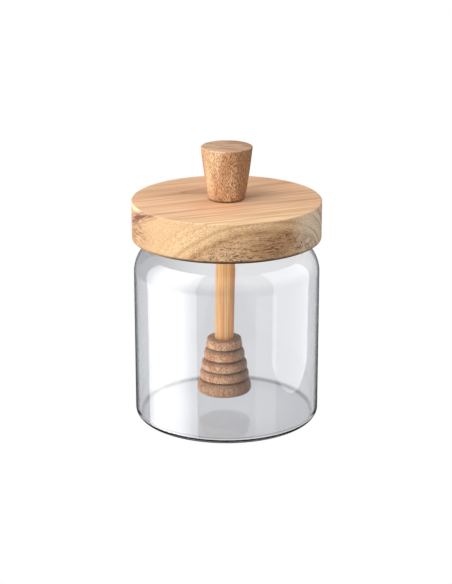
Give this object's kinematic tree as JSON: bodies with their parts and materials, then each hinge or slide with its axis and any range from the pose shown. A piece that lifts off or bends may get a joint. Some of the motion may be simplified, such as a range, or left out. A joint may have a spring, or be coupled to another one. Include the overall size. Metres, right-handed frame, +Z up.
{
  "type": "honey jar with dipper",
  "caption": "Clear glass jar with rounded shoulders, a thick wooden lid with a tapered knob, and a ringed wooden honey dipper that hangs from the lid inside it.",
  "frame": {"origin": "centre of the jar's flat underside, on the surface that it stands on", "axes": "+Z up along the jar's axis, +X to the right and +Y away as seen from the front; the dipper's rod leans towards -X"},
  "size_m": [0.1, 0.1, 0.1478],
  "materials": {
    "glass": "clear, fire-polished",
    "lid_wood": "sanded and oiled",
    "knob_wood": "sanded and oiled",
    "bamboo": "smooth, lightly oiled",
    "head_wood": "turned, unvarnished"
  },
  "bodies": {
    "root": {"glass_jar": "glass", "lid": "lid_wood", "knob": "knob_wood", "rod": "bamboo", "dipper_head": "head_wood"}
  },
  "joints": []
}
